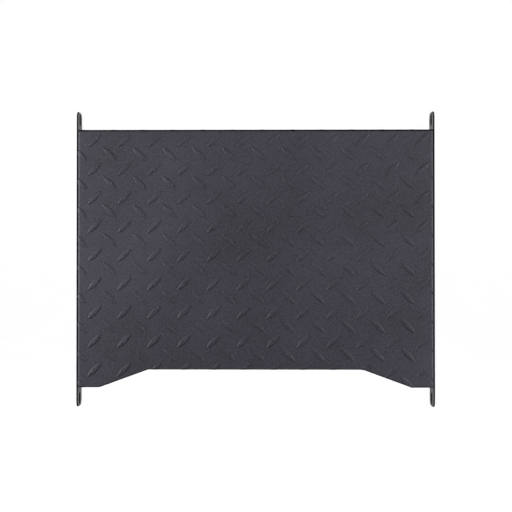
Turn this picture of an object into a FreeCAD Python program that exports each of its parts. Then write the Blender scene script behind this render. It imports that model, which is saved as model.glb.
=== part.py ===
import FreeCAD, Part
import math
import os
import Sketcher

# Tread-plate fireplace screen.
# A pan of tread plate hangs between two upright flat bars. The sides of the pan are folded back
# and bolted to the bars, and each bar ends in round-cornered lugs with a slotted eye in each.
#
# Frame: X across the screen, Y from front to back, Z up. The origin is the bottom centre of the
# whole screen, from the crowns of the tears to the backs of the bars.

doc = FreeCAD.newDocument("fireplace_screen")

# ---------------------------------------------------------------- driving dimensions (mm)

DIMENSIONS = [
    ("screen_width", 500.0, "outside of one bar to outside of the other"),
    ("bar_height", 414.0, "bar, tip to tip"),
    ("bar_depth", 32.0, "bar, front to back"),
    ("bar_thickness", 2.0, "bar, across the screen"),
    ("bar_corner_radius", 9.0, "round corners of the bar's ends"),
    ("eye_width", 10.5, "hanging eye, front to back"),
    ("eye_length", 17.0, "hanging eye, end to end up the bar"),
    ("eye_from_tip", 10.9, "eye centre from the tip of the bar"),
    ("panel_height", 359.3, "pan, top edge to feet"),
    ("panel_lift", 28.2, "feet of the pan above the bar's lower tip"),
    ("panel_advance", 2.0, "face of the pan ahead of the bar's front edge"),
    ("plate_thickness", 2.0, "tread plate without its tears"),
    ("return_depth", 31.0, "pan, face to the free edge of a folded side"),
    ("bend_radius", 3.0, "outside of the fold"),
    ("notch_height", 24.8, "cut-out in the pan's lower edge"),
    ("notch_top_width", 299.0, "cut-out along its upper edge"),
    ("notch_bottom_width", 434.5, "cut-out between the feet"),
    ("notch_corner_radius", 15.0, "softened corners of the cut-out"),
    ("tear_length", 28.5, "one tear, point to point"),
    ("tear_width", 7.6, "one tear, across its middle"),
    ("tear_height", 1.3, "tear above the plate"),
    ("tear_flank", 50.0, "slope of a tear's flank from upright (degrees)"),
    ("tear_pitch_x", 41.6, "tears of one direction, column to column"),
    ("tear_pitch_z", 40.0, "tears of one direction, row to row"),
    ("rising_first_x", -224.8, "first column of rising tears, from the middle"),
    ("rising_first_drop", 15.0, "first row of rising tears, below the top edge"),
    ("falling_first_x", -245.3, "first column of falling tears, from the middle"),
    ("falling_first_drop", -6.3, "first row of falling tears, below the top edge"),
    ("bolt_count", 4.0, "screws on each side"),
    ("bolt_pitch", 98.0, "screw to screw along the bar"),
    ("bolt_first_z", 33.0, "lowest screw above the feet of the pan"),
    ("bolt_setback", 21.0, "screws behind the bar's front edge"),
    ("bolt_hole_diameter", 5.5, "clearance hole for a screw"),
    ("screw_diameter", 4.9, "shank of the M5 screw"),
    ("screw_length", 12.0, "under the head"),
    ("screw_head_diameter", 9.5, "button head"),
    ("screw_crown_diameter", 5.0, "flat crown of the button head"),
    ("screw_head_height", 2.7, "button head"),
    ("screw_tip_chamfer", 0.6, "lead-in at the end of the shank"),
    ("socket_width", 3.0, "hexagon socket across its flats"),
    ("socket_depth", 1.5, "hexagon socket"),
    ("washer_diameter", 10.0, "outside"),
    ("washer_hole_diameter", 5.3, "inside"),
    ("washer_thickness", 1.0, ""),
    ("nut_width", 8.0, "across flats"),
    ("nut_height", 4.7, ""),
    ("nut_hole_diameter", 5.0, "inside the thread"),
    ("nut_chamfer_height", 0.7, "corners turned off at both ends of the nut"),
    ("stock_margin", 30.0, "sheet left over round the blank before it is cut"),
]

params = doc.addObject("Spreadsheet::Sheet", "Params")
for row, (alias, value, note) in enumerate(DIMENSIONS, start=1):
    params.set(f"A{row}", alias)
    params.set(f"B{row}", str(value))
    params.setAlias(f"B{row}", alias)
    params.set(f"C{row}", note)
doc.recompute()


class Size:
    """A length with its value now and the expression that ties it to the spreadsheet."""

    def __init__(self, value, text):
        self.value = value
        self.text = text

    def combine(self, other, sign, result):
        text = other.text if isinstance(other, Size) else str(float(other))
        return Size(result, f"({self.text} {sign} {text})")

    def __add__(self, other):
        return self.combine(other, "+", self.value + number(other))

    def __sub__(self, other):
        return self.combine(other, "-", self.value - number(other))

    def __mul__(self, other):
        return self.combine(other, "*", self.value * number(other))

    def __truediv__(self, other):
        return self.combine(other, "/", self.value / number(other))

    def __neg__(self):
        return Size(-self.value, f"(-1 * {self.text})")


def number(size):
    return size.value if isinstance(size, Size) else float(size)


SIZES = {alias: Size(value, f"Params.{alias}") for alias, value, note in DIMENSIONS}


def bind(feature, prop, size):
    """Drive one property of a feature from the spreadsheet."""
    feature.setExpression(prop, size.text)


# ---------------------------------------------------------------- sketch and feature helpers

HORIZONTAL_AXIS, VERTICAL_AXIS = -1, -2
START, END, CENTRE = 1, 2, 3


def origin_feature(body, role):
    return next(f for f in body.Origin.OriginFeatures if f.Role == role)


def new_body(name, lift=None, shift=None, turned=False):
    """A body with its own label, placed by the spreadsheet."""
    body = doc.addObject("PartDesign::Body", name)
    body.Label = name
    if turned:
        body.Placement = FreeCAD.Placement(
            FreeCAD.Vector(0, 0, 0), FreeCAD.Rotation(FreeCAD.Vector(0, 0, 1), 180)
        )
    for axis, size in (("x", shift), ("y", centring_y), ("z", lift)):
        if size is not None:
            bind(body, f"Placement.Base.{axis}", size)
    return body


def new_sketch(body, name, role, offset=None):
    """A sketch on one of the body's own origin planes, moved along the plane's normal."""
    sketch = body.newObject("Sketcher::SketchObject", name)
    sketch.AttachmentSupport = [(origin_feature(body, role), "")]
    sketch.MapMode = "FlatFace"
    if offset is not None:
        bind(sketch, "AttachmentOffset.Base.z", offset)
    return sketch


def pin_along(sketch, kind, geometry, point, size):
    """Hold one coordinate of a sketch point."""
    if number(size) == 0.0:
        axis = VERTICAL_AXIS if kind == "DistanceX" else HORIZONTAL_AXIS
        sketch.addConstraint(Sketcher.Constraint("PointOnObject", geometry, point, axis))
        return
    held = Sketcher.Constraint(kind, -1, 1, geometry, point, number(size))
    index = sketch.addConstraint(held)
    if isinstance(size, Size):
        sketch.setExpression(f"Constraints[{index}]", size.text)


def pin(sketch, geometry, point, x, y):
    pin_along(sketch, "DistanceX", geometry, point, x)
    pin_along(sketch, "DistanceY", geometry, point, y)


def vector(x, y):
    return FreeCAD.Vector(number(x), number(y), 0)


def polygon(sketch, corners):
    """A closed outline through the corners, each one held by the spreadsheet."""
    lines = []
    for here, there in zip(corners, corners[1:] + corners[:1]):
        line = Part.LineSegment(vector(*here), vector(*there))
        lines.append(sketch.addGeometry(line, False))
    for index, line in enumerate(lines):
        following = lines[(index + 1) % len(lines)]
        sketch.addConstraint(Sketcher.Constraint("Coincident", line, END, following, START))
        pin(sketch, line, START, *corners[index])
    return lines


def rectangle(sketch, low, high):
    return polygon(sketch, [low, (high[0], low[1]), high, (low[0], high[1])])


def circle(sketch, x, y, diameter):
    shape = Part.Circle(vector(x, y), FreeCAD.Vector(0, 0, 1), number(diameter) / 2)
    ring = sketch.addGeometry(shape, False)
    pin(sketch, ring, CENTRE, x, y)
    index = sketch.addConstraint(Sketcher.Constraint("Diameter", ring, number(diameter)))
    sketch.setExpression(f"Constraints[{index}]", diameter.text)


def upright_slot(sketch, x, z, width, length):
    """An upright slot with round ends, centred on (x, z)."""
    run = (length - width) / 2
    radius = width / 2
    normal = FreeCAD.Vector(0, 0, 1)
    ends, sides = [], []
    for heart_z, first, last in ((z + run, 0, 180), (z - run, 180, 360)):
        ring = Part.Circle(vector(x, heart_z), normal, number(radius))
        arc = Part.ArcOfCircle(ring, math.radians(first), math.radians(last))
        ends.append(sketch.addGeometry(arc, False))
        pin_along(sketch, "DistanceY", ends[-1], CENTRE, heart_z)
    for side, here, there in ((-1, z + run, z - run), (1, z - run, z + run)):
        side_x = radius * side + x
        line = Part.LineSegment(vector(side_x, here), vector(side_x, there))
        sides.append(sketch.addGeometry(line, False))
        pin(sketch, sides[-1], START, side_x, here)
        pin(sketch, sides[-1], END, side_x, there)
    loop = [ends[0], sides[0], ends[1], sides[1]]
    for first, second in zip(loop, loop[1:] + loop[:1]):
        sketch.addConstraint(Sketcher.Constraint("Coincident", first, END, second, START))


def pad(body, name, sketch, length, symmetric=False):
    feature = body.newObject("PartDesign::Pad", name)
    feature.Profile = sketch
    if symmetric:
        feature.SideType = "Symmetric"
    bind(feature, "Length", length)
    sketch.Visibility = False
    return feature


def pocket_through(body, name, sketch):
    """Cut right through the body, both ways from the sketch."""
    before = solid_volume(body)
    feature = body.newObject("PartDesign::Pocket", name)
    feature.Profile = sketch
    feature.SideType = "Two sides"
    feature.Type = "ThroughAll"
    feature.Type2 = "ThroughAll"
    sketch.Visibility = False
    if solid_volume(body) >= before - 1.0:
        raise RuntimeError(f"{name} cuts nothing")
    return feature


def grid(body, name, feature, axes, counts, pitches):
    """Repeat a feature along one or two of the body's axes."""
    pattern = body.newObject("PartDesign::LinearPattern", name)
    pattern.Originals = [feature]
    pattern.Direction = (origin_feature(body, axes[0]), [""])
    pattern.Mode = "Spacing"
    pattern.Occurrences = int(counts[0])
    bind(pattern, "Offset", pitches[0])
    if len(axes) > 1:
        pattern.Direction2 = (origin_feature(body, axes[1]), [""])
        pattern.Mode2 = "Spacing"
        pattern.Occurrences2 = int(counts[1])
        bind(pattern, "Offset2", pitches[1])
    body.Tip = pattern
    doc.recompute()
    return pattern


def column(body, name, feature):
    """Repeat a feature up the bar, once for each screw."""
    pattern = grid(body, name, feature, ["Z_Axis"], [2], [SIZES["bolt_pitch"]])
    bind(pattern, "Occurrences", SIZES["bolt_count"])
    doc.recompute()
    return pattern


def solid_volume(body):
    doc.recompute()
    return body.Shape.Volume


def round_edges(body, name, wanted, radius):
    """Fillet the edges of the body's tip that the test picks out."""
    doc.recompute()
    tip = body.Tip
    names = [
        f"Edge{index}" for index, edge in enumerate(tip.Shape.Edges, start=1) if wanted(edge)
    ]
    feature = body.newObject("PartDesign::Fillet", name)
    feature.Base = (tip, names)
    bind(feature, "Radius", radius)
    doc.recompute()
    return feature


# ---------------------------------------------------------------- derived sizes

half_width = SIZES["screen_width"] / 2
bar_inner_x = half_width - SIZES["bar_thickness"]
half_depth = SIZES["bar_depth"] / 2
plate_front_y = -half_depth - SIZES["panel_advance"]
plate_back_y = plate_front_y + SIZES["plate_thickness"]
flat_half = bar_inner_x - SIZES["bend_radius"]
bolt_y = SIZES["bolt_setback"] - half_depth
panel_height = SIZES["panel_height"]
# the tears stand ahead of the bars, so everything moves back to centre the whole screen on y = 0
centring_y = (SIZES["panel_advance"] + SIZES["tear_height"]) / 2


# ---------------------------------------------------------------- tread-plate pan

def tear_sketch(body, name, first_x, first_drop, lean):
    """One pointed oval on the plate's face. lean is 1 for a rising tear and -1 for a falling one."""
    sketch = new_sketch(body, name, "XZ_Plane", -plate_front_y)
    centre_x, centre_z = first_x, panel_height - first_drop
    reach = SIZES["tear_length"] * math.cos(math.radians(45)) / 2
    bulge = SIZES["tear_width"] * math.cos(math.radians(45)) / 2
    low = (centre_x - reach * lean, centre_z - reach)
    high = (centre_x + reach * lean, centre_z + reach)
    right = (centre_x + bulge * lean, centre_z - bulge)
    left = (centre_x - bulge * lean, centre_z + bulge)
    for crest in (right, left):
        arc = sketch.addGeometry(Part.Arc(vector(*low), vector(*crest), vector(*high)), False)
        middle = sketch.addGeometry(Part.Point(vector(*crest)), True)
        ends = (START, END)
        if (sketch.getPoint(arc, START) - vector(*low)).Length > 0.1:
            ends = (END, START)
        pin(sketch, arc, ends[0], *low)
        pin(sketch, arc, ends[1], *high)
        pin(sketch, middle, START, *crest)
        sketch.addConstraint(Sketcher.Constraint("PointOnObject", middle, START, arc))
    return sketch


def raise_tears(body, name, first_x, first_drop, lean, counts):
    """Roll one direction of tears over the whole sheet."""
    sketch = tear_sketch(body, name + "_outline", first_x, first_drop, lean)
    before = solid_volume(body)
    tear = pad(body, name, sketch, SIZES["tear_height"])
    bind(tear, "TaperAngle", -SIZES["tear_flank"])
    doc.recompute()
    grid(
        body,
        name + "_grid",
        tear,
        ["X_Axis", "Z_Axis"],
        counts,
        [SIZES["tear_pitch_x"], SIZES["tear_pitch_z"]],
    ).Reversed2 = True
    if solid_volume(body) <= before:
        raise RuntimeError(f"{name} adds nothing")


def make_pan():
    body = new_body("tread_panel", lift=SIZES["panel_lift"])

    # the sheet as it comes from the mill, larger than the screen
    stock = new_sketch(body, "stock_outline", "XZ_Plane", -plate_back_y)
    margin = SIZES["stock_margin"]
    zero = Size(0.0, "0")
    rectangle(
        stock, (-bar_inner_x - margin, zero - margin), (bar_inner_x + margin, panel_height + margin)
    )
    pad(body, "stock", stock, SIZES["plate_thickness"])
    raise_tears(body, "rising_tear", SIZES["rising_first_x"], SIZES["rising_first_drop"], 1, (12, 9))
    raise_tears(
        body, "falling_tear", SIZES["falling_first_x"], SIZES["falling_first_drop"], -1, (13, 10)
    )

    # the blank: flat width between the folds, with the cut-out between the feet
    blank = new_sketch(body, "blank_outline", "XZ_Plane")
    wide = margin + 10
    rectangle(blank, (-bar_inner_x - wide, zero - wide), (bar_inner_x + wide, panel_height + wide))
    notch_low = SIZES["notch_bottom_width"] / 2
    notch_high = SIZES["notch_top_width"] / 2
    polygon(
        blank,
        [
            (-flat_half, 0),
            (-flat_half, panel_height),
            (flat_half, panel_height),
            (flat_half, 0),
            (notch_low, 0),
            (notch_high, SIZES["notch_height"]),
            (-notch_high, SIZES["notch_height"]),
            (-notch_low, 0),
        ],
    )
    pocket_through(body, "cut_blank", blank)

    def notch_corner(edge):
        x, z = abs(edge.CenterOfMass.x), edge.CenterOfMass.z
        upright = abs(edge.Vertexes[0].X - edge.Vertexes[-1].X) < 0.01 and (
            abs(edge.Vertexes[0].Z - edge.Vertexes[-1].Z) < 0.01
        )
        at_foot = abs(x - notch_low.value) < 0.1 and abs(z) < 0.1
        at_top = abs(x - notch_high.value) < 0.1 and abs(z - SIZES["notch_height"].value) < 0.1
        return upright and (at_foot or at_top)

    round_edges(body, "soft_notch", notch_corner, SIZES["notch_corner_radius"])

    # one folded side, and its twin
    fold = new_sketch(body, "fold_section", "XY_Plane")
    bend_y = plate_front_y + SIZES["bend_radius"]
    free_y = plate_front_y + SIZES["return_depth"]
    inner_x = bar_inner_x - SIZES["plate_thickness"]
    outside = number(SIZES["bend_radius"])
    inside = outside - number(SIZES["plate_thickness"])
    heart = vector(flat_half, bend_y)

    def bend(radius):
        ring = Part.Circle(heart, FreeCAD.Vector(0, 0, 1), radius)
        arc = Part.ArcOfCircle(ring, math.radians(270), math.radians(360))
        index = fold.addGeometry(arc, False)
        pin(fold, index, CENTRE, flat_half, bend_y)
        return index

    def edge(here, there):
        return fold.addGeometry(Part.LineSegment(vector(*here), vector(*there)), False)

    outer_bend, inner_bend = bend(outside), bend(inside)
    outer_side = edge((bar_inner_x, bend_y), (bar_inner_x, free_y))
    free_edge = edge((bar_inner_x, free_y), (inner_x, free_y))
    inner_side = edge((inner_x, free_y), (inner_x, bend_y))
    root = edge((flat_half, plate_back_y), (flat_half, plate_front_y))
    for first, first_end, second, second_end in (
        (outer_bend, END, outer_side, START),
        (outer_side, END, free_edge, START),
        (free_edge, END, inner_side, START),
        (inner_side, END, inner_bend, END),
        (inner_bend, START, root, START),
        (root, END, outer_bend, START),
    ):
        fold.addConstraint(
            Sketcher.Constraint("Coincident", first, first_end, second, second_end)
        )
    pin(fold, root, START, flat_half, plate_back_y)
    pin(fold, root, END, flat_half, plate_front_y)
    pin(fold, free_edge, START, bar_inner_x, free_y)
    pin(fold, free_edge, END, inner_x, free_y)
    pin_along(fold, "DistanceY", outer_side, START, bend_y)
    pin_along(fold, "DistanceY", inner_side, END, bend_y)
    right_fold = pad(body, "right_fold", fold, panel_height)
    doc.recompute()
    left_fold = body.newObject("PartDesign::Mirrored", "left_fold")
    left_fold.Originals = [right_fold]
    left_fold.MirrorPlane = (origin_feature(body, "YZ_Plane"), [""])
    body.Tip = left_fold
    doc.recompute()

    # clearance holes for the screws through both folded sides
    hole = new_sketch(body, "bolt_hole", "YZ_Plane")
    circle(hole, bolt_y, SIZES["bolt_first_z"], SIZES["bolt_hole_diameter"])
    column(body, "bolt_holes", pocket_through(body, "first_bolt_hole", hole))
    return body


# ---------------------------------------------------------------- side bars

def make_bar(name, shift):
    """A flat bar on edge: round-cornered ends with a slotted eye in each, and a row of holes."""
    body = new_body(name, shift=shift)
    outline = new_sketch(body, name + "_outline", "YZ_Plane")
    rectangle(outline, (-half_depth, 0), (half_depth, SIZES["bar_height"]))
    pad(body, name + "_flat", outline, SIZES["bar_thickness"])

    def end_corner(edge):
        return abs(edge.Length - SIZES["bar_thickness"].value) < 0.01

    round_edges(body, name + "_ends", end_corner, SIZES["bar_corner_radius"])
    eyes = new_sketch(body, name + "_eyes", "YZ_Plane")
    for eye_z in (SIZES["eye_from_tip"], SIZES["bar_height"] - SIZES["eye_from_tip"]):
        upright_slot(eyes, 0, eye_z, SIZES["eye_width"], SIZES["eye_length"])
    pocket_through(body, name + "_cut_eyes", eyes)
    hole = new_sketch(body, name + "_bolt_hole", "YZ_Plane")
    first_z = SIZES["panel_lift"] + SIZES["bolt_first_z"]
    circle(hole, bolt_y, first_z, SIZES["bolt_hole_diameter"])
    column(body, name + "_bolt_holes", pocket_through(body, name + "_first_bolt_hole", hole))
    return body


# ---------------------------------------------------------------- screws, washers and nuts
# Each is drawn once along +X, from the outside of the bar inwards, and repeated up the bar.

def fastener_body(side, name, depth):
    """A body whose own x runs inwards through the bar, starting at the given depth."""
    body = new_body(
        f"{side}_{name}",
        lift=SIZES["panel_lift"] + SIZES["bolt_first_z"],
        shift=(depth - half_width) if side == "left" else (half_width - depth),
        turned=side == "right",
    )
    bind(body, "Placement.Base.y", centring_y + bolt_y)
    body.AllowCompound = True
    return body


def spin(body, name, sketch, cut=False):
    kind = "PartDesign::Groove" if cut else "PartDesign::Revolution"
    before = solid_volume(body) if cut else 0.0
    feature = body.newObject(kind, name)
    feature.Profile = sketch
    feature.ReferenceAxis = (sketch, ["H_Axis"])
    feature.Angle = 360.0
    sketch.Visibility = False
    after = solid_volume(body)
    if cut and after >= before:
        raise RuntimeError(f"{name} cuts nothing")
    return feature


def hexagon(sketch, width):
    """A hexagon about the axis, with its flats up and down."""
    corner = width / math.sqrt(3)
    corners = []
    for step in range(6):
        angle = math.radians(60 * step)
        across, up = round(math.cos(angle), 9), round(math.sin(angle), 9)
        corners.append((corner * across, corner * up if up else 0))
    return polygon(sketch, corners)


def repeat_up_bar(body, name):
    """Repeat the finished fastener once for each screw hole."""
    pattern = body.newObject("PartDesign::LinearPattern", name)
    pattern.TransformMode = "Whole shape"
    pattern.Direction = (origin_feature(body, "Z_Axis"), [""])
    pattern.Mode = "Spacing"
    bind(pattern, "Occurrences", SIZES["bolt_count"])
    bind(pattern, "Offset", SIZES["bolt_pitch"])
    body.Tip = pattern
    doc.recompute()


# the button head's dome, as shares of its height and of the way from crown to rim
SHOULDER_HEIGHT, SHOULDER_REACH = 0.82, 0.62
CHEEK_HEIGHT, CHEEK_INSET = 0.42, 0.35
RIM_HEIGHT = 0.12
# turning the corners off a nut: the cone starts just inside its flats and clears its corners
NUT_CONE_BITE = 0.1
NUT_CONE_REACH = 0.62


def make_screws(side):
    body = fastener_body(side, "screws", Size(0.0, "0"))
    profile = new_sketch(body, side + "_screw_profile", "XZ_Plane")
    crown = SIZES["screw_crown_diameter"] / 2
    rim = SIZES["screw_head_diameter"] / 2
    shank = SIZES["screw_diameter"] / 2
    head, chamfer = SIZES["screw_head_height"], SIZES["screw_tip_chamfer"]
    shoulder = (rim - crown) * SHOULDER_REACH + crown
    polygon(
        profile,
        [
            (-head, 0),
            (-head, crown),
            (-head * SHOULDER_HEIGHT, shoulder),
            (-head * CHEEK_HEIGHT, rim - CHEEK_INSET),
            (-head * RIM_HEIGHT, rim),
            (0, rim),
            (0, shank),
            (SIZES["screw_length"] - chamfer, shank),
            (SIZES["screw_length"], shank - chamfer),
            (SIZES["screw_length"], 0),
        ],
    )
    spin(body, side + "_screw_turned", profile)
    socket = new_sketch(body, side + "_socket", "YZ_Plane", -head)
    hexagon(socket, SIZES["socket_width"])
    before = solid_volume(body)
    recess = body.newObject("PartDesign::Pocket", side + "_socket_cut")
    recess.Profile = socket
    recess.Reversed = True
    bind(recess, "Length", SIZES["socket_depth"])
    if solid_volume(body) >= before:
        raise RuntimeError("the socket cuts nothing")
    repeat_up_bar(body, side + "_screw_row")
    return body


def make_washers(side):
    depth = SIZES["bar_thickness"] + SIZES["plate_thickness"]
    body = fastener_body(side, "washers", depth)
    ring = new_sketch(body, side + "_washer_ring", "YZ_Plane")
    circle(ring, 0, 0, SIZES["washer_diameter"])
    circle(ring, 0, 0, SIZES["washer_hole_diameter"])
    pad(body, side + "_washer", ring, SIZES["washer_thickness"])
    repeat_up_bar(body, side + "_washer_row")
    return body


def make_nuts(side):
    depth = SIZES["bar_thickness"] + SIZES["plate_thickness"] + SIZES["washer_thickness"]
    body = fastener_body(side, "nuts", depth)
    outline = new_sketch(body, side + "_nut_outline", "YZ_Plane")
    hexagon(outline, SIZES["nut_width"])
    circle(outline, 0, 0, SIZES["nut_hole_diameter"])
    pad(body, side + "_nut", outline, SIZES["nut_height"])
    # the corners are turned off on the nut's two ends
    turned = new_sketch(body, side + "_nut_turning", "XZ_Plane")
    flat = SIZES["nut_width"] / 2 - NUT_CONE_BITE
    proud = SIZES["nut_width"] * NUT_CONE_REACH
    run, height = SIZES["nut_chamfer_height"], SIZES["nut_height"]
    polygon(turned, [(0, flat), (run, proud), (-run, proud), (-run, flat)])
    polygon(turned, [(height, flat), (height - run, proud), (height + run, proud), (height + run, flat)])
    spin(body, side + "_nut_corners", turned, cut=True)
    repeat_up_bar(body, side + "_nut_row")
    return body


# ---------------------------------------------------------------- assembly, checks and export

bodies = [make_pan(), make_bar("left_side_bar", -half_width), make_bar("right_side_bar", bar_inner_x)]
for side in ("left", "right"):
    bodies += [make_screws(side), make_washers(side), make_nuts(side)]

doc.recompute()
for item in doc.Objects:
    if "Invalid" in item.State or "Error" in item.State:
        raise RuntimeError(f"{item.Name} is {item.State}")
for body in bodies:
    if body.Shape.isNull() or not body.Shape.isValid():
        raise RuntimeError(f"{body.Label} has no valid shape")

os.makedirs("parts", exist_ok=True)
for body in bodies:
    body.Shape.exportStep(os.path.join("parts", body.Label + ".step"))
    box = body.Shape.BoundBox
    print(
        f"{body.Label}: {len(body.Shape.Solids)} solids, x {box.XMin:.2f} {box.XMax:.2f}, "
        f"y {box.YMin:.2f} {box.YMax:.2f}, z {box.ZMin:.2f} {box.ZMax:.2f}"
    )
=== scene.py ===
import math

import bmesh
import bpy
import numpy as np
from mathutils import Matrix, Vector


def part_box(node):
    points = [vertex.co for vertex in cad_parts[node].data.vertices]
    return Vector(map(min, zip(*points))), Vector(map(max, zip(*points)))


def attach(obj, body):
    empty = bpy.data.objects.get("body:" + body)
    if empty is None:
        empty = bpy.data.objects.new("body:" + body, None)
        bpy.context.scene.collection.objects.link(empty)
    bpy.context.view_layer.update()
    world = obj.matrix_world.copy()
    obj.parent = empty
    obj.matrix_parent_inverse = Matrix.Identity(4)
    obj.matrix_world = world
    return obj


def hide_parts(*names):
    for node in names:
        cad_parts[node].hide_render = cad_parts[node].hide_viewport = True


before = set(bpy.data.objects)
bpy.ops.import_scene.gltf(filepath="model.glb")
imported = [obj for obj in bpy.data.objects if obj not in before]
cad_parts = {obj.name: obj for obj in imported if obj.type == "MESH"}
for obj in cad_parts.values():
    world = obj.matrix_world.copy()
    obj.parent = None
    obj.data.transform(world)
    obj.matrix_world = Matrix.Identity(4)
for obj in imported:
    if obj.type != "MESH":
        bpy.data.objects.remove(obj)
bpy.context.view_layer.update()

# ---------------------------------------------------------------- sizes, in metres

MM = 0.001
bar_low, bar_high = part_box("left_side_bar")
right_low, right_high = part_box("right_side_bar")
pan_low, pan_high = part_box("tread_panel")

BAR_THICKNESS = bar_high.x - bar_low.x
BAR_CORNER = 9.0 * MM
EYE_WIDTH = 10.5 * MM
EYE_LENGTH = 17.0 * MM
EYE_FROM_TIP = 10.9 * MM
EDGE_SOFTNESS = 0.3 * MM
BAR_EDGE_SOFTNESS = 0.12 * MM
EDGE_BAND = 4.0 * MM  # how far the painted edge shade reaches in from a cut edge of the sheet
LOWER_EDGE_SHARE = 0.65  # the painted edge shade on the lower edge, against 1 on the top edge
SHARP_ANGLE = math.radians(38)
SQUARE_ENOUGH = 0.9999  # a face this square to an axis is shaded flat

PLATE_THICKNESS = 2.0 * MM
BEND_RADIUS = 3.0 * MM
TEAR_HEIGHT = 1.3 * MM
PAN_HALF = pan_high.x
PAN_BASE = pan_low.z
PAN_HEIGHT = pan_high.z - pan_low.z
FACE_Y = pan_low.y + TEAR_HEIGHT
RETURN_LENGTH = pan_high.y - FACE_Y - BEND_RADIUS
FLAT_HALF = PAN_HALF - BEND_RADIUS
BEND_ARC = BEND_RADIUS * math.pi / 2

NOTCH_HEIGHT = 24.8 * MM
NOTCH_TOP_HALF = 149.5 * MM
NOTCH_BOTTOM_HALF = 217.25 * MM
NOTCH_CORNER = 15.0 * MM

TEAR_LENGTH = 28.5 * MM
TEAR_WIDTH = 7.6 * MM
TEAR_FLANK = 1.4 * MM
TEAR_FOOT = 0.3 * MM  # how deep a tear reaches into the sheet
TEAR_RIM_DEPTH = 0.02 * MM  # how far its rim lies below the face of the sheet
TEAR_PITCH_X = 41.6 * MM
TEAR_PITCH_Z = 40.0 * MM
# first column from the middle, first row below the top edge, columns, rows, lean
RISING = (-224.8 * MM, 15.0 * MM, 12, 9, 1)
FALLING = (-245.3 * MM, -6.3 * MM, 13, 10, -1)
KEEPER_FRONT = 3.0 * MM  # a solid of the blank's outline, deep enough to hold the tears it trims
KEEPER_DEPTH = 5.0 * MM
TEAR_BEND_LIMIT = 0.68  # share of the bend's radius over which tears still run

BOLT_FIRST_Z = 33.0 * MM
BOLT_PITCH = 98.0 * MM
BOLT_COUNT = 4
BOLT_Y = bar_low.y + 21.0 * MM
BOLT_HOLE_RADIUS = 2.75 * MM

FLOOR_Z = -0.25
FLOOR_HALF = 30.0
FLOOR_GLOW = 0.42
FRONT_AMBIENT = 0.15
BACK_AMBIENT = 0.9
AMBIENT_FROM_Y = -0.3
AMBIENT_TO_Y = 0.6
LOW_SHARE = 0.9  # of the ambient light, below the horizon and above it
HIGH_SHARE = 1.35
HORIZON_BAND = 0.12
SIDE_LIGHT_X = 0.90
SIDE_LIGHT_Y = -0.45
LEFT_LIGHT_Z = 0.29
RIGHT_LIGHT_Z = 0.26
SIDE_LIGHT_SIZE = (0.35, 0.70)
SIDE_AIM_X = 0.05
SIDE_AIM_Z = 0.22
FRONT_LIGHT_PLACE = (0.0, -0.95, 0.85)
FRONT_LIGHT_SIZE = (1.2, 0.5)
FRONT_AIM = (0.0, 0.0, 0.25)
LEFT_POWER = 9.8
RIGHT_POWER = 7.3
FRONT_POWER = 1.5

CAMERA_DISTANCE = 1.3957
CAMERA_HEIGHT = 0.2112
CAMERA_SIDE = 0.0010
SENSOR_WIDTH = 36.0
FOCAL_WIDTHS = 1.953125  # focal length over the width of the picture
TURNED_LEFT = math.radians(0.70)
TURNED_UP = math.radians(0.62)


# ---------------------------------------------------------------- flat outlines

def rounded(corners, radius, steps=8):
    """The corners of a closed outline, each one turned into an arc of its own radius."""
    points = []
    count = len(corners)
    for index, here in enumerate(corners):
        here = Vector(here)
        before = Vector(corners[index - 1]) - here
        after = Vector(corners[(index + 1) % count]) - here
        turn = before.angle(after)
        reach = radius[index] / math.tan(turn / 2)
        if radius[index] <= 0:
            points.append(tuple(here))
            continue
        start = here + before.normalized() * reach
        end = here + after.normalized() * reach
        heart = here + (before.normalized() + after.normalized()).normalized() * (
            radius[index] / math.sin(turn / 2)
        )
        first, last = start - heart, end - heart
        sweep = first.angle_signed(last)
        base = math.atan2(first.y, first.x)
        for step in range(steps + 1):
            angle = base - sweep * step / steps
            points.append(
                (heart.x + radius[index] * math.cos(angle), heart.y + radius[index] * math.sin(angle))
            )
    return points


def ring(x, y, radius, steps):
    """A circle as a closed run of points."""
    return [
        (x + radius * math.cos(2 * math.pi * i / steps), y + radius * math.sin(2 * math.pi * i / steps))
        for i in range(steps)
    ]


def slot_ring(up, width, length, steps=16):
    """An upright slot with round ends, its middle at the given height."""
    radius, run = width / 2, (length - width) / 2
    points = []
    for end in (1, -1):
        for step in range(steps + 1):
            angle = math.pi * step / steps
            points.append((end * radius * math.cos(angle), up + end * (run + radius * math.sin(angle))))
    return points


def cut_sheet(name, loops, thickness, softness):
    """A flat sheet cut to the loops, with softened edges, as a mesh centred on z = 0."""
    curve = bpy.data.curves.new(name + "_outline", "CURVE")
    curve.dimensions = "2D"
    curve.fill_mode = "BOTH"
    curve.extrude = thickness / 2 - softness
    curve.bevel_depth = softness
    curve.bevel_resolution = 2
    curve.offset = -softness
    for loop in loops:
        spline = curve.splines.new("POLY")
        spline.points.add(len(loop) - 1)
        for point, (x, y) in zip(spline.points, loop):
            point.co = (x, y, 0, 1)
        spline.use_cyclic_u = True
    holder = bpy.data.objects.new(name + "_outline", curve)
    bpy.context.scene.collection.objects.link(holder)
    bpy.context.view_layer.update()
    mesh = bpy.data.meshes.new_from_object(holder.evaluated_get(bpy.context.evaluated_depsgraph_get()))
    mesh.name = name
    bpy.data.objects.remove(holder)
    bpy.data.curves.remove(curve)
    shape = bmesh.new()
    shape.from_mesh(mesh)
    bmesh.ops.remove_doubles(shape, verts=shape.verts, dist=1e-6)
    bmesh.ops.recalc_face_normals(shape, faces=shape.faces)
    shape.to_mesh(mesh)
    shape.free()
    return mesh


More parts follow.
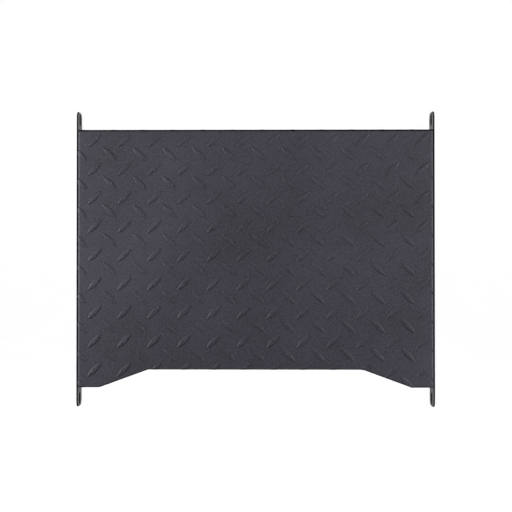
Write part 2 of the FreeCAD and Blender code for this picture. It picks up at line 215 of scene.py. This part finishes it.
def turn_outward(shape):
    """Make the faces of every closed shell look outwards, also where the shell is flat and thin."""
    bmesh.ops.recalc_face_normals(shape, faces=shape.faces)
    shape.normal_update()
    left = set(shape.faces)
    while left:
        shell = [left.pop()]
        for face in shell:
            for edge in face.edges:
                for other in edge.link_faces:
                    if other in left:
                        left.remove(other)
                        shell.append(other)
        start = shell[0].verts[0].co
        volume = sum(
            (face.calc_center_median() - start).dot(face.normal) * face.calc_area() for face in shell
        )
        if volume < 0:
            bmesh.ops.reverse_faces(shape, faces=shell)


def show(name, mesh, material, slot, *nodes):
    """Put a finished mesh in the scene in place of CAD nodes."""
    mesh.set_sharp_from_angle(angle=SHARP_ANGLE)
    mesh.materials.clear()
    mesh.materials.append(material)
    piece = bpy.data.objects.new(name, mesh)
    bpy.context.scene.collection.objects.link(piece)
    for face in mesh.polygons:
        square = max(abs(part) for part in face.normal) > SQUARE_ENOUGH
        face.use_smooth = not square
    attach(piece, "root")
    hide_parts(*nodes)
    return piece


# ---------------------------------------------------------------- materials

BODY = (0.0385, 0.0366, 0.0499)
LIGHT = (0.0560, 0.0538, 0.0725)
DARK = (0.0235, 0.0226, 0.0302)
# painted edge shade: the share of the body colour left on cut edges
EDGE_SHADE = 0.1
EDGE_ROUGHNESS = 0.95
SHINE = 0.42


def set_range(node, low, high, to_low, to_high):
    """Map low..high to to_low..to_high, clamped at both ends."""
    node.clamp = True
    node.inputs["From Min"].default_value = low
    node.inputs["From Max"].default_value = high
    node.inputs["To Min"].default_value = to_low
    node.inputs["To Max"].default_value = to_high


class Nodes:
    """Short calls for building one node material."""

    def __init__(self, name):
        self.material = bpy.data.materials.new(name)
        self.material.use_nodes = True
        self.tree = self.material.node_tree
        self.shader = self.tree.nodes["Principled BSDF"]

    def add(self, kind, **settings):
        node = self.tree.nodes.new(kind)
        for key, value in settings.items():
            if key.startswith("in_"):
                node.inputs[key[3:].replace("_", " ")].default_value = value
            else:
                setattr(node, key, value)
        return node

    def link(self, source, target):
        self.tree.links.new(source, target)

    def place(self):
        return self.add("ShaderNodeTexCoord").outputs["Object"]

    def noise(self, scale, detail=2.0, roughness=0.5):
        texture = self.add("ShaderNodeTexNoise", in_Scale=scale, in_Detail=detail, in_Roughness=roughness)
        self.link(self.place(), texture.inputs["Vector"])
        return texture.outputs["Fac"]

    def ramp(self, value, stops):
        ramp = self.add("ShaderNodeValToRGB")
        elements = ramp.color_ramp.elements
        while len(elements) < len(stops):
            elements.new(0.5)
        for element, (position, colour) in zip(elements, stops):
            element.position = position
            element.color = (*colour, 1.0)
        self.link(value, ramp.inputs["Fac"])
        return ramp.outputs["Color"]

    def span(self, value, low, high, to_low, to_high):
        node = self.add("ShaderNodeMapRange")
        set_range(node, low, high, to_low, to_high)
        self.link(value, node.inputs["Value"])
        return node.outputs["Result"]

    def mix(self, factor, a, b):
        node = self.add("ShaderNodeMix", data_type="RGBA")
        for value, key in ((factor, 0), (a, 6), (b, 7)):
            if isinstance(value, tuple):
                node.inputs[key].default_value = (*value, 1.0)
            else:
                self.link(value, node.inputs[key])
        return node.outputs[2]

    def math(self, operation, a, b=None):
        node = self.add("ShaderNodeMath", operation=operation)
        for index, value in enumerate((a, b)):
            if value is None:
                continue
            if isinstance(value, (int, float)):
                node.inputs[index].default_value = value
            else:
                self.link(value, node.inputs[index])
        return node.outputs[0]

    def attribute(self, name):
        return self.add("ShaderNodeAttribute", attribute_name=name).outputs["Fac"]

    def bump(self, height, strength, distance, after=None):
        node = self.add("ShaderNodeBump")
        node.inputs["Strength"].default_value = strength
        node.inputs["Distance"].default_value = distance
        self.link(height, node.inputs["Height"])
        if after is not None:
            self.link(after, node.inputs["Normal"])
        return node.outputs["Normal"]


def powder_coat(name, edge):
    """Satin powder coat: fine orange peel, faint clouds and grain; cut edges matt, and painted dark as edge
    shade.
    """
    n = Nodes(name)
    on_edge = edge(n)
    clouds = n.noise(6.0, 3.0, 0.55)
    colour = n.ramp(clouds, [(0.3, DARK), (0.5, BODY), (0.72, LIGHT)])
    grain = n.noise(2600.0, 2.0, 0.6)
    colour = n.mix(n.span(grain, 0.35, 0.7, 0.0, 0.25), colour, LIGHT)
    specks = n.noise(480.0, 2.0, 0.75)
    colour = n.mix(n.span(specks, 0.50, 0.66, 0.0, 1.0), colour, DARK)
    colour = n.mix(n.span(specks, 0.34, 0.50, 1.0, 0.0), colour, LIGHT)
    # painted shade: the cut edges darkened to a tenth of the body colour
    colour = n.mix(on_edge, colour, tuple(EDGE_SHADE * part for part in BODY))
    n.link(colour, n.shader.inputs["Base Color"])
    rough = n.span(n.noise(420.0, 2.0, 0.6), 0.3, 0.7, 0.50, 0.60)
    rough = n.math("MAXIMUM", rough, n.math("MULTIPLY", on_edge, EDGE_ROUGHNESS))
    n.link(rough, n.shader.inputs["Roughness"])
    shine = n.math("MULTIPLY", n.math("SUBTRACT", 1.0, on_edge), SHINE)
    n.link(shine, n.shader.inputs["Specular IOR Level"])
    peel = n.bump(n.noise(620.0, 2.0, 0.5), 0.10, 0.0004)
    fine = n.bump(grain, 0.12, 0.0001, peel)
    n.link(fine, n.shader.inputs["Normal"])
    return n.material


def blackened_steel(name):
    """Black-oxide steel: dark and a little oily, in faint clouds of tone."""
    n = Nodes(name)
    clouds = n.noise(300.0, 3.0, 0.6)
    colour = n.ramp(clouds, [(0.3, (0.020, 0.020, 0.023)), (0.7, (0.045, 0.045, 0.050))])
    n.link(colour, n.shader.inputs["Base Color"])
    n.link(n.span(clouds, 0.3, 0.7, 0.28, 0.42), n.shader.inputs["Roughness"])
    n.shader.inputs["Metallic"].default_value = 0.75
    n.link(n.bump(n.noise(1800.0, 2.0, 0.5), 0.08, 0.0001), n.shader.inputs["Normal"])
    return n.material


def bar_edge(n):
    """1 on the cut edges of an upright bar, 0 on its two flat sides: where the painted edge shade goes."""
    split = n.add("ShaderNodeSeparateXYZ")
    n.link(n.add("ShaderNodeNewGeometry").outputs["Normal"], split.inputs[0])
    across = n.math("ABSOLUTE", split.outputs["X"])
    return n.span(across, 0.8, 0.97, 1.0, 0.0)


def sheet_edge(n):
    """1 on the cut top and lower edges of the sheet, 0 away from them: where the painted edge shade goes."""
    return n.span(n.attribute("cut_edge"), 0.25, 0.75, 0.0, 1.0)


panel_coat = powder_coat("panel_powder_coat", sheet_edge)
bar_coat = powder_coat("bar_powder_coat", bar_edge)
black_steel = blackened_steel("black_oxide_steel")


# ---------------------------------------------------------------- side bars

def make_bar(name, low, high):
    half_depth = (high.y - low.y) / 2
    top = high.z - low.z
    outline = rounded(
        [(-half_depth, 0), (half_depth, 0), (half_depth, top), (-half_depth, top)],
        [BAR_CORNER] * 4,
        steps=14,
    )
    holes = [slot_ring(z, EYE_WIDTH, EYE_LENGTH) for z in (EYE_FROM_TIP, top - EYE_FROM_TIP)]
    for index in range(BOLT_COUNT):
        z = PAN_BASE - low.z + BOLT_FIRST_Z + index * BOLT_PITCH
        holes.append(ring(BOLT_Y - (low.y + half_depth), z, BOLT_HOLE_RADIUS, 24))
    mesh = cut_sheet(name, [outline] + holes, BAR_THICKNESS, BAR_EDGE_SOFTNESS)
    centre = (low + high) / 2
    for vertex in mesh.vertices:
        across, up, through = vertex.co
        vertex.co = (centre.x + through, centre.y + across, low.z + up)
    return mesh


for side, low, high in (("left", bar_low, bar_high), ("right", right_low, right_high)):
    node = side + "_side_bar"
    show(side + "_flat_bar", make_bar(side + "_flat_bar", low, high), bar_coat, "bar_coat", node)


# ---------------------------------------------------------------- tread-plate pan

def notch_outline():
    """The lower edge of the pan from right foot to left foot, as sharp corners that blank_outline rounds."""
    return [
        (NOTCH_BOTTOM_HALF, 0),
        (NOTCH_TOP_HALF, NOTCH_HEIGHT),
        (-NOTCH_TOP_HALF, NOTCH_HEIGHT),
        (-NOTCH_BOTTOM_HALF, 0),
    ]


def blank_outline(half):
    corners = [(-half, 0), (-half, PAN_HEIGHT), (half, PAN_HEIGHT), (half, 0)] + notch_outline()
    return rounded(corners, [0, 0, 0, 0] + [NOTCH_CORNER] * 4)


def fold(u, depth, height):
    """Where a point of the flat blank goes once the sides are folded back."""
    side = 1 if u > 0 else -1
    past = abs(u) - FLAT_HALF
    if past <= 0:
        return Vector((u, FACE_Y + depth, PAN_BASE + height))
    if past < BEND_ARC:
        turn = past / BEND_RADIUS
        radius = BEND_RADIUS - depth
        x = FLAT_HALF + radius * math.sin(turn)
        y = FACE_Y + BEND_RADIUS - radius * math.cos(turn)
        return Vector((side * x, y, PAN_BASE + height))
    return Vector((side * (PAN_HALF - depth), FACE_Y + BEND_RADIUS + past - BEND_ARC, PAN_BASE + height))


def make_sheet():
    """The blank with its screw holes, folded into a pan."""
    flat_half = FLAT_HALF + BEND_ARC + RETURN_LENGTH
    hole_u = FLAT_HALF + BEND_ARC + BOLT_Y - FACE_Y - BEND_RADIUS
    holes = [
        ring(side * hole_u, BOLT_FIRST_Z + index * BOLT_PITCH, BOLT_HOLE_RADIUS, 24)
        for side in (-1, 1)
        for index in range(BOLT_COUNT)
    ]
    mesh = cut_sheet("tread_sheet", [blank_outline(flat_half)] + holes, PLATE_THICKNESS, EDGE_SOFTNESS)
    shape = bmesh.new()
    shape.from_mesh(mesh)
    bends = 10
    for side in (-1, 1):
        for step in range(bends + 1):
            u = side * (FLAT_HALF + BEND_ARC * step / bends)
            everything = list(shape.verts) + list(shape.edges) + list(shape.faces)
            bmesh.ops.bisect_plane(shape, geom=everything, plane_co=(u, 0, 0), plane_no=(1, 0, 0), dist=1e-7)
    # lines that keep the painted edge shade within a narrow band beside the cut edges
    heights = (PAN_HEIGHT - EDGE_BAND, EDGE_BAND, NOTCH_HEIGHT + EDGE_BAND)
    bands = [((0, height, 0), (0, 1, 0)) for height in heights]
    rise = Vector((NOTCH_HEIGHT, NOTCH_BOTTOM_HALF - NOTCH_TOP_HALF, 0)).normalized()
    for side in (-1, 1):
        outward = Vector((side * rise.x, rise.y, 0))
        bands.append((Vector((side * NOTCH_BOTTOM_HALF, 0, 0)) + outward * EDGE_BAND, outward))
    for place, normal in bands:
        everything = list(shape.verts) + list(shape.edges) + list(shape.faces)
        bmesh.ops.bisect_plane(shape, geom=everything, plane_co=place, plane_no=normal, dist=1e-7)
    for vertex in shape.verts:
        vertex.co = fold(vertex.co.x, vertex.co.z + PLATE_THICKNESS / 2, vertex.co.y)
    bmesh.ops.recalc_face_normals(shape, faces=shape.faces)
    shape.to_mesh(mesh)
    shape.free()
    return mesh


def tear_height(inside):
    """Height of a tear at this distance inside its outline."""
    share = min(max(inside / TEAR_FLANK, 0.0), 1.0)
    return TEAR_HEIGHT * share * share * (3 - 2 * share)


def add_tear(shape, centre_u, centre_z, lean):
    """One rolled tear in flat-blank coordinates (u, z, depth): a closed, pointed, crowned oval."""
    along, across = 24, 12
    half_length, half_width = TEAR_LENGTH / 2, TEAR_WIDTH / 2
    arc = (half_length**2 + half_width**2) / (2 * half_width)
    root = math.sqrt(0.5)

    def place(s, t, depth):
        u = centre_u + lean * root * (s + t)
        z = centre_z + root * (s - t)
        return shape.verts.new((u, z, depth))

    rows = []
    skirt = []
    tips = [place(sign * half_length, 0, TEAR_RIM_DEPTH) for sign in (-1, 1)]
    deep_tips = [place(sign * half_length, 0, TEAR_FOOT) for sign in (-1, 1)]
    for i in range(1, along):
        s = -half_length * math.cos(math.pi * i / along)
        half = math.sqrt(arc * arc - s * s) - (arc - half_width)
        row = []
        for j in range(across + 1):
            t = half * math.sin(math.pi * (j / across - 0.5))
            rise = tear_height(half - abs(t))
            row.append(place(s, t, TEAR_RIM_DEPTH - rise))
        rows.append(row)
        skirt.append((place(s, -half, TEAR_FOOT), place(s, half, TEAR_FOOT)))
    for i in range(len(rows) - 1):
        for j in range(across):
            shape.faces.new((rows[i][j], rows[i + 1][j], rows[i + 1][j + 1], rows[i][j + 1]))
        for column, edge in ((0, 0), (across, 1)):
            shape.faces.new((rows[i][column], rows[i + 1][column], skirt[i + 1][edge], skirt[i][edge]))
        shape.faces.new((skirt[i][0], skirt[i + 1][0], skirt[i + 1][1], skirt[i][1]))
    for end, tip, deep in ((0, tips[0], deep_tips[0]), (-1, tips[1], deep_tips[1])):
        for j in range(across):
            shape.faces.new((rows[end][j], rows[end][j + 1], tip))
        for column, edge in ((0, 0), (across, 1)):
            shape.faces.new((rows[end][column], tip, deep, skirt[end][edge]))
        shape.faces.new((skirt[end][0], skirt[end][1], deep))


def notch_distance(x, z):
    """How far a point lies outside the cut-out, negative within it."""
    slope = (NOTCH_BOTTOM_HALF - NOTCH_TOP_HALF) / NOTCH_HEIGHT
    return max(z - NOTCH_HEIGHT, (abs(x) - NOTCH_BOTTOM_HALF + z * slope) / math.hypot(1, slope))


def make_tears():
    """Every tear of the sheet; those on a cut edge are cut with it."""
    whole = bmesh.new()
    cut = bmesh.new()
    reach = TEAR_LENGTH / 2 * math.sqrt(0.5) + 0.2 * MM
    wide = FLAT_HALF + BEND_RADIUS * TEAR_BEND_LIMIT
    for first_x, first_drop, columns, rows, lean in (RISING, FALLING):
        for i in range(columns):
            for j in range(rows):
                u = first_x + i * TEAR_PITCH_X
                z = PAN_HEIGHT - first_drop - j * TEAR_PITCH_Z
                clear_of_bends = abs(u) + reach < wide
                clear_of_top_and_feet = reach < z < PAN_HEIGHT - reach
                clear_of_notch = notch_distance(u, z) > reach * 1.5
                inside = clear_of_bends and clear_of_top_and_feet and clear_of_notch
                add_tear(whole if inside else cut, u, z, lean)
    turn_outward(cut)

    cut_mesh = bpy.data.meshes.new("cut_tears")
    cut.to_mesh(cut_mesh)
    cut.free()
    keeper = bmesh.new()
    outline = blank_outline(wide)
    base = keeper.faces.new([keeper.verts.new((x, y, -KEEPER_FRONT)) for x, y in outline])
    raised = bmesh.ops.extrude_face_region(keeper, geom=[base])["geom"]
    raised_points = [item for item in raised if isinstance(item, bmesh.types.BMVert)]
    bmesh.ops.translate(keeper, vec=(0, 0, KEEPER_DEPTH), verts=raised_points)
    turn_outward(keeper)
    keeper_mesh = bpy.data.meshes.new("blank_solid")
    keeper.to_mesh(keeper_mesh)
    keeper.free()
    pair = [bpy.data.objects.new(m.name, m) for m in (cut_mesh, keeper_mesh)]
    for item in pair:
        bpy.context.scene.collection.objects.link(item)
    trim = pair[0].modifiers.new("trim", "BOOLEAN")
    trim.operation = "INTERSECT"
    trim.solver = "EXACT"
    trim.object = pair[1]
    bpy.context.view_layer.update()
    trimmed = bpy.data.meshes.new_from_object(
        pair[0].evaluated_get(bpy.context.evaluated_depsgraph_get())
    )
    whole.from_mesh(trimmed)
    for item in pair:
        bpy.data.objects.remove(item)
    for vertex in whole.verts:
        vertex.co = fold(vertex.co.x, vertex.co.z, vertex.co.y)
    turn_outward(whole)
    mesh = bpy.data.meshes.new("tears")
    whole.to_mesh(mesh)
    whole.free()
    return mesh


def make_pan():
    shape = bmesh.new()
    for part in (make_sheet(), make_tears()):
        shape.from_mesh(part)
        bpy.data.meshes.remove(part)
    mesh = bpy.data.meshes.new("tread_plate_pan")
    shape.to_mesh(mesh)
    shape.free()
    # painted edge shade: 1 at the top edge, LOWER_EDGE_SHARE at the lower edges, fading to 0 within
    # EDGE_BAND
    edge = mesh.attributes.new("cut_edge", "FLOAT", "POINT")
    for vertex, value in zip(mesh.vertices, edge.data):
        x, z = abs(vertex.co.x), vertex.co.z - PAN_BASE
        upper = 1 - (PAN_HEIGHT - z) / EDGE_BAND
        lower = 1 - max(min(z, notch_distance(x, z)), 0) / EDGE_BAND
        value.value = max(upper, LOWER_EDGE_SHARE * lower, 0)
    return mesh


show("tread_plate_pan", make_pan(), panel_coat, "panel_coat", "tread_panel")


# ---------------------------------------------------------------- fixings keep their CAD shapes

for side in ("left", "right"):
    for kind in ("screws", "washers", "nuts"):
        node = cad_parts[f"{side}_{kind}"]
        for slot in node.material_slots:
            slot.material = black_steel


# ---------------------------------------------------------------- floor, light and camera

floor_material = Nodes("pale_floor")
pale_stops = [(0.3, (0.86, 0.86, 0.86)), (0.7, (0.9, 0.9, 0.9))]
pale = floor_material.ramp(floor_material.noise(3.0, 3.0), pale_stops)
floor_material.link(pale, floor_material.shader.inputs["Base Color"])
floor_material.shader.inputs["Roughness"].default_value = 0.9
floor_material.shader.inputs["Emission Color"].default_value = (1, 1, 1, 1)
# the glow is even, but is driven through nodes: with a plain number in its place,
# the back of the screen renders about 3 grey levels darker
away = floor_material.add("ShaderNodeVectorMath", operation="LENGTH")
floor_material.link(floor_material.place(), away.inputs[0])
glow = floor_material.span(away.outputs["Value"], 0.0, 1.0, FLOOR_GLOW, FLOOR_GLOW)
floor_material.link(glow, floor_material.shader.inputs["Emission Strength"])
floor_mesh = bpy.data.meshes.new("floor")
corners = [(x * FLOOR_HALF, y * FLOOR_HALF, FLOOR_Z) for x, y in ((-1, -1), (1, -1), (1, 1), (-1, 1))]
floor_mesh.from_pydata(corners, [], [(0, 1, 2, 3)])
floor_mesh.materials.append(floor_material.material)
floor = bpy.data.objects.new("floor", floor_mesh)
bpy.context.scene.collection.objects.link(floor)
floor.visible_diffuse = False
floor.visible_glossy = False

# the studio: white to the camera, bright behind the screen and dim in front of it
world = bpy.data.worlds.new("studio")
bpy.context.scene.world = world
world.use_nodes = True
links = world.node_tree.links
sky = world.node_tree.nodes["Background"]
sky.inputs["Color"].default_value = (1, 1, 1, 1)
place = world.node_tree.nodes.new("ShaderNodeTexCoord")
split = world.node_tree.nodes.new("ShaderNodeSeparateXYZ")
links.new(place.outputs["Generated"], split.inputs[0])
depth = world.node_tree.nodes.new("ShaderNodeMapRange")
set_range(depth, AMBIENT_FROM_Y, AMBIENT_TO_Y, FRONT_AMBIENT, BACK_AMBIENT)
links.new(split.outputs["Y"], depth.inputs["Value"])
height = world.node_tree.nodes.new("ShaderNodeMapRange")
set_range(height, -HORIZON_BAND, HORIZON_BAND, LOW_SHARE, HIGH_SHARE)
links.new(split.outputs["Z"], height.inputs["Value"])
strength = world.node_tree.nodes.new("ShaderNodeMath")
strength.operation = "MULTIPLY"
links.new(depth.outputs["Result"], strength.inputs[0])
links.new(height.outputs["Result"], strength.inputs[1])
links.new(strength.outputs[0], sky.inputs["Strength"])
backdrop = world.node_tree.nodes.new("ShaderNodeBackground")
backdrop.inputs["Color"].default_value = (1, 1, 1, 1)
backdrop.inputs["Strength"].default_value = 1.0
path = world.node_tree.nodes.new("ShaderNodeLightPath")
choose = world.node_tree.nodes.new("ShaderNodeMixShader")
output = world.node_tree.nodes["World Output"]
links.new(path.outputs["Is Camera Ray"], choose.inputs[0])
links.new(sky.outputs[0], choose.inputs[1])
links.new(backdrop.outputs[0], choose.inputs[2])
links.new(choose.outputs[0], output.inputs["Surface"])


def softbox(name, place, target, size, power):
    """A rectangular light aimed at a point of the screen, and not seen by the camera."""
    light = bpy.data.lights.new(name, "AREA")
    light.shape = "RECTANGLE"
    light.size = size[0]
    light.size_y = size[1]
    light.energy = power
    lamp = bpy.data.objects.new(name, light)
    lamp.location = place
    lamp.rotation_euler = (Vector(target) - Vector(place)).to_track_quat("-Z", "Y").to_euler()
    lamp.visible_camera = False
    bpy.context.scene.collection.objects.link(lamp)


for name, side, height, power in (
    ("left_softbox", -1, LEFT_LIGHT_Z, LEFT_POWER), ("right_softbox", 1, RIGHT_LIGHT_Z, RIGHT_POWER)
):
    place = (side * SIDE_LIGHT_X, SIDE_LIGHT_Y, height)
    softbox(name, place, (side * SIDE_AIM_X, 0.0, SIDE_AIM_Z), SIDE_LIGHT_SIZE, power)
softbox("front_softbox", FRONT_LIGHT_PLACE, FRONT_AIM, FRONT_LIGHT_SIZE, FRONT_POWER)

camera_data = bpy.data.cameras.new("camera")
camera_data.sensor_width = SENSOR_WIDTH
camera_data.lens = SENSOR_WIDTH * FOCAL_WIDTHS
camera_data.shift_x = math.tan(TURNED_LEFT) * FOCAL_WIDTHS
camera_data.shift_y = -math.tan(TURNED_UP) * FOCAL_WIDTHS
camera = bpy.data.objects.new("camera", camera_data)
camera.location = (CAMERA_SIDE, bar_low.y - CAMERA_DISTANCE, CAMERA_HEIGHT)
camera.rotation_euler = (math.radians(90) + TURNED_UP, 0, TURNED_LEFT)
bpy.context.scene.collection.objects.link(camera)
bpy.context.scene.camera = camera
bpy.context.scene.view_settings.view_transform = "Standard"
